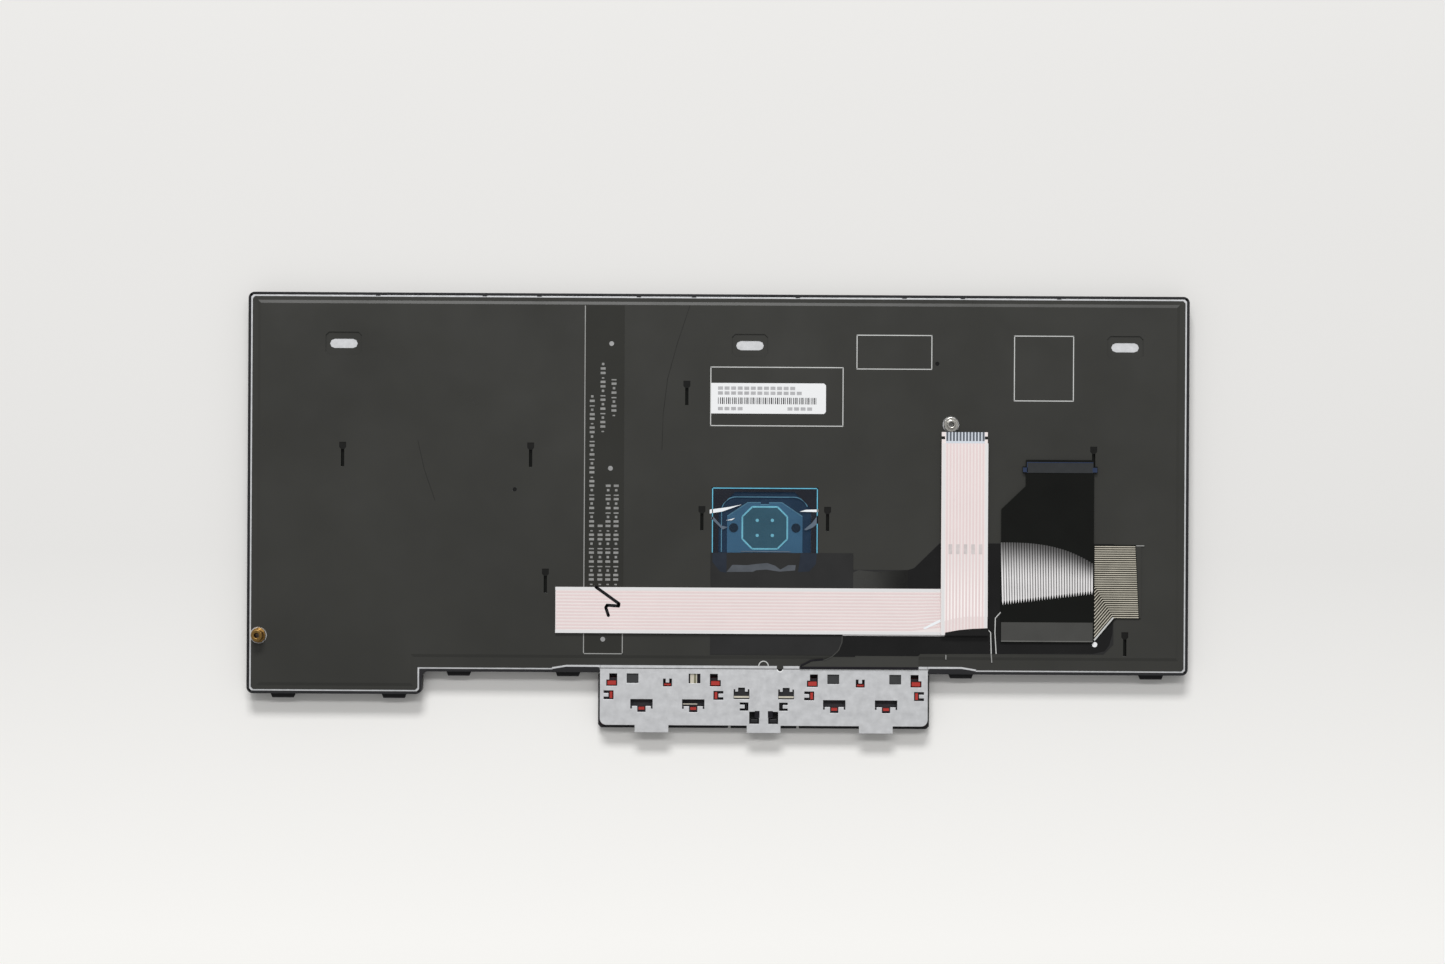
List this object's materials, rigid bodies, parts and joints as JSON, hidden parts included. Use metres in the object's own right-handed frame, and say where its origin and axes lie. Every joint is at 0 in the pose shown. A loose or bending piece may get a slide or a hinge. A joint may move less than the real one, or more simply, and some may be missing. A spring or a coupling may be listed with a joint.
{
  "type": "laptop keyboard",
  "caption": "Laptop keyboard module with scissor keys, pointing stick, three buttons, steel back plate, dark back film, ribbon cable and folded membrane tail.",
  "frame": {"origin": "on the floor under the middle of the module, which lies on its keycaps", "axes": "+X to the typist's left, along the rows; +Y to the rear edge; +Z out of the steel back"},
  "size_m": [0.287, 0.1336, 0.0085],
  "materials": {
    "black_plastic": "fine satin moulded black",
    "keycap_black": "fine matt coated black",
    "galvanised_steel": "satin zinc coated sheet",
    "switch_film": "glossy dark film",
    "light_sheet": "clear sheet",
    "dark_film": "satin dark film",
    "strip_film": "satin dark flexible strip",
    "dome_rubber": "soft clear rubber",
    "link_plastic": "plain moulded white",
    "sensor_steel": "satin sheet",
    "red_rubber": "fine grained soft red",
    "blue_film": "clear blue film",
    "ribbon_white": "smooth white ribbon",
    "red_plastic": "satin moulded red",
    "contact_flex": "cream flexible strip",
    "brass": "dull turned brass",
    "plain_steel": "turned steel",
    "black_tape": "black tape",
    "paper": "plain white paper"
  },
  "bodies": {
    "chassis": {"keyboard_frame": "black_plastic", "base_plate": "galvanised_steel", "switch_membrane": "switch_film", "light_guide": "light_sheet", "back_film": "dark_film", "led_strip": "strip_film", "rubber_domes": "dome_rubber", "scissor_links": "link_plastic", "stick_sensor": "sensor_steel", "stick_cap": "red_rubber", "sensor_film": "blue_film", "stick_cable": "ribbon_white", "button_switch_flex": "contact_flex", "brass_insert": "brass", "steel_standoff": "plain_steel", "black_tapes": "black_tape", "blank_label": "paper", "function_row_keys": "keycap_black", "number_row_keys": "keycap_black", "punctuation_keys": "keycap_black", "modifier_keys": "keycap_black", "arrow_keys": "keycap_black"},
    "key_a": {"key_a": "keycap_black"},
    "key_b": {"key_b": "keycap_black"},
    "key_c": {"key_c": "keycap_black"},
    "key_d": {"key_d": "keycap_black"},
    "key_e": {"key_e": "keycap_black"},
    "key_f": {"key_f": "keycap_black"},
    "key_g": {"key_g": "keycap_black"},
    "key_h": {"key_h": "keycap_black"},
    "key_i": {"key_i": "keycap_black"},
    "key_j": {"key_j": "keycap_black"},
    "key_k": {"key_k": "keycap_black"},
    "key_l": {"key_l": "keycap_black"},
    "key_m": {"key_m": "keycap_black"},
    "key_n": {"key_n": "keycap_black"},
    "key_o": {"key_o": "keycap_black"},
    "key_p": {"key_p": "keycap_black"},
    "key_q": {"key_q": "keycap_black"},
    "key_r": {"key_r": "keycap_black"},
    "key_s": {"key_s": "keycap_black"},
    "key_t": {"key_t": "keycap_black"},
    "key_u": {"key_u": "keycap_black"},
    "key_v": {"key_v": "keycap_black"},
    "key_w": {"key_w": "keycap_black"},
    "key_x": {"key_x": "keycap_black"},
    "key_y": {"key_y": "keycap_black"},
    "key_z": {"key_z": "keycap_black"},
    "key_space": {"key_space": "keycap_black"},
    "key_enter": {"key_enter": "keycap_black"},
    "key_backspace": {"key_backspace": "keycap_black"},
    "key_tab": {"key_tab": "keycap_black"},
    "key_caps_lock": {"key_caps_lock": "keycap_black"},
    "key_left_shift": {"key_left_shift": "keycap_black"},
    "key_right_shift": {"key_right_shift": "keycap_black"},
    "left_button": {"left_button_cap": "black_plastic", "left_button_body": "red_plastic"},
    "right_button": {"right_button_cap": "black_plastic", "right_button_body": "red_plastic"},
    "middle_button": {"middle_button": "black_plastic"}
  },
  "joints": [
    {"name": "key_a_press", "type": "slide", "parent": "chassis", "child": "key_a", "axis": [0, 0, 1], "range_m": [0, 0.0018], "stiffness_N_per_m": 300, "deforming": ["rubber_domes", "scissor_links"]},
    {"name": "key_b_press", "type": "slide", "parent": "chassis", "child": "key_b", "axis": [0, 0, 1], "range_m": [0, 0.0018], "stiffness_N_per_m": 300, "deforming": ["rubber_domes", "scissor_links"]},
    {"name": "key_c_press", "type": "slide", "parent": "chassis", "child": "key_c", "axis": [0, 0, 1], "range_m": [0, 0.0018], "stiffness_N_per_m": 300, "deforming": ["rubber_domes", "scissor_links"]},
    {"name": "key_d_press", "type": "slide", "parent": "chassis", "child": "key_d", "axis": [0, 0, 1], "range_m": [0, 0.0018], "stiffness_N_per_m": 300, "deforming": ["rubber_domes", "scissor_links"]},
    {"name": "key_e_press", "type": "slide", "parent": "chassis", "child": "key_e", "axis": [0, 0, 1], "range_m": [0, 0.0018], "stiffness_N_per_m": 300, "deforming": ["rubber_domes", "scissor_links"]},
    {"name": "key_f_press", "type": "slide", "parent": "chassis", "child": "key_f", "axis": [0, 0, 1], "range_m": [0, 0.0018], "stiffness_N_per_m": 300, "deforming": ["rubber_domes", "scissor_links"]},
    {"name": "key_g_press", "type": "slide", "parent": "chassis", "child": "key_g", "axis": [0, 0, 1], "range_m": [0, 0.0018], "stiffness_N_per_m": 300, "deforming": ["rubber_domes", "scissor_links"]},
    {"name": "key_h_press", "type": "slide", "parent": "chassis", "child": "key_h", "axis": [0, 0, 1], "range_m": [0, 0.0018], "stiffness_N_per_m": 300, "deforming": ["rubber_domes", "scissor_links"]},
    {"name": "key_i_press", "type": "slide", "parent": "chassis", "child": "key_i", "axis": [0, 0, 1], "range_m": [0, 0.0018], "stiffness_N_per_m": 300, "deforming": ["rubber_domes", "scissor_links"]},
    {"name": "key_j_press", "type": "slide", "parent": "chassis", "child": "key_j", "axis": [0, 0, 1], "range_m": [0, 0.0018], "stiffness_N_per_m": 300, "deforming": ["rubber_domes", "scissor_links"]},
    {"name": "key_k_press", "type": "slide", "parent": "chassis", "child": "key_k", "axis": [0, 0, 1], "range_m": [0, 0.0018], "stiffness_N_per_m": 300, "deforming": ["rubber_domes", "scissor_links"]},
    {"name": "key_l_press", "type": "slide", "parent": "chassis", "child": "key_l", "axis": [0, 0, 1], "range_m": [0, 0.0018], "stiffness_N_per_m": 300, "deforming": ["rubber_domes", "scissor_links"]},
    {"name": "key_m_press", "type": "slide", "parent": "chassis", "child": "key_m", "axis": [0, 0, 1], "range_m": [0, 0.0018], "stiffness_N_per_m": 300, "deforming": ["rubber_domes", "scissor_links"]},
    {"name": "key_n_press", "type": "slide", "parent": "chassis", "child": "key_n", "axis": [0, 0, 1], "range_m": [0, 0.0018], "stiffness_N_per_m": 300, "deforming": ["rubber_domes", "scissor_links"]},
    {"name": "key_o_press", "type": "slide", "parent": "chassis", "child": "key_o", "axis": [0, 0, 1], "range_m": [0, 0.0018], "stiffness_N_per_m": 300, "deforming": ["rubber_domes", "scissor_links"]},
    {"name": "key_p_press", "type": "slide", "parent": "chassis", "child": "key_p", "axis": [0, 0, 1], "range_m": [0, 0.0018], "stiffness_N_per_m": 300, "deforming": ["rubber_domes", "scissor_links"]},
    {"name": "key_q_press", "type": "slide", "parent": "chassis", "child": "key_q", "axis": [0, 0, 1], "range_m": [0, 0.0018], "stiffness_N_per_m": 300, "deforming": ["rubber_domes", "scissor_links"]},
    {"name": "key_r_press", "type": "slide", "parent": "chassis", "child": "key_r", "axis": [0, 0, 1], "range_m": [0, 0.0018], "stiffness_N_per_m": 300, "deforming": ["rubber_domes", "scissor_links"]},
    {"name": "key_s_press", "type": "slide", "parent": "chassis", "child": "key_s", "axis": [0, 0, 1], "range_m": [0, 0.0018], "stiffness_N_per_m": 300, "deforming": ["rubber_domes", "scissor_links"]},
    {"name": "key_t_press", "type": "slide", "parent": "chassis", "child": "key_t", "axis": [0, 0, 1], "range_m": [0, 0.0018], "stiffness_N_per_m": 300, "deforming": ["rubber_domes", "scissor_links"]},
    {"name": "key_u_press", "type": "slide", "parent": "chassis", "child": "key_u", "axis": [0, 0, 1], "range_m": [0, 0.0018], "stiffness_N_per_m": 300, "deforming": ["rubber_domes", "scissor_links"]},
    {"name": "key_v_press", "type": "slide", "parent": "chassis", "child": "key_v", "axis": [0, 0, 1], "range_m": [0, 0.0018], "stiffness_N_per_m": 300, "deforming": ["rubber_domes", "scissor_links"]},
    {"name": "key_w_press", "type": "slide", "parent": "chassis", "child": "key_w", "axis": [0, 0, 1], "range_m": [0, 0.0018], "stiffness_N_per_m": 300, "deforming": ["rubber_domes", "scissor_links"]},
    {"name": "key_x_press", "type": "slide", "parent": "chassis", "child": "key_x", "axis": [0, 0, 1], "range_m": [0, 0.0018], "stiffness_N_per_m": 300, "deforming": ["rubber_domes", "scissor_links"]},
    {"name": "key_y_press", "type": "slide", "parent": "chassis", "child": "key_y", "axis": [0, 0, 1], "range_m": [0, 0.0018], "stiffness_N_per_m": 300, "deforming": ["rubber_domes", "scissor_links"]},
    {"name": "key_z_press", "type": "slide", "parent": "chassis", "child": "key_z", "axis": [0, 0, 1], "range_m": [0, 0.0018], "stiffness_N_per_m": 300, "deforming": ["rubber_domes", "scissor_links"]},
    {"name": "key_space_press", "type": "slide", "parent": "chassis", "child": "key_space", "axis": [0, 0, 1], "range_m": [0, 0.0018], "stiffness_N_per_m": 300, "deforming": ["rubber_domes", "scissor_links"]},
    {"name": "key_enter_press", "type": "slide", "parent": "chassis", "child": "key_enter", "axis": [0, 0, 1], "range_m": [0, 0.0018], "stiffness_N_per_m": 300, "deforming": ["rubber_domes", "scissor_links"]},
    {"name": "key_backspace_press", "type": "slide", "parent": "chassis", "child": "key_backspace", "axis": [0, 0, 1], "range_m": [0, 0.0018], "stiffness_N_per_m": 300, "deforming": ["rubber_domes", "scissor_links"]},
    {"name": "key_tab_press", "type": "slide", "parent": "chassis", "child": "key_tab", "axis": [0, 0, 1], "range_m": [0, 0.0018], "stiffness_N_per_m": 300, "deforming": ["rubber_domes", "scissor_links"]},
    {"name": "key_caps_lock_press", "type": "slide", "parent": "chassis", "child": "key_caps_lock", "axis": [0, 0, 1], "range_m": [0, 0.0018], "stiffness_N_per_m": 300, "deforming": ["rubber_domes", "scissor_links"]},
    {"name": "key_left_shift_press", "type": "slide", "parent": "chassis", "child": "key_left_shift", "axis": [0, 0, 1], "range_m": [0, 0.0018], "stiffness_N_per_m": 300, "deforming": ["rubber_domes", "scissor_links"]},
    {"name": "key_right_shift_press", "type": "slide", "parent": "chassis", "child": "key_right_shift", "axis": [0, 0, 1], "range_m": [0, 0.0018], "stiffness_N_per_m": 300, "deforming": ["rubber_domes", "scissor_links"]},
    {"name": "left_button_press", "type": "slide", "parent": "chassis", "child": "left_button", "axis": [0, 0, 1], "range_m": [0, 0.0008], "stiffness_N_per_m": 600},
    {"name": "right_button_press", "type": "slide", "parent": "chassis", "child": "right_button", "axis": [0, 0, 1], "range_m": [0, 0.0008], "stiffness_N_per_m": 600},
    {"name": "middle_button_press", "type": "slide", "parent": "chassis", "child": "middle_button", "axis": [0, 0, 1], "range_m": [0, 0.0008], "stiffness_N_per_m": 600}
  ]
}
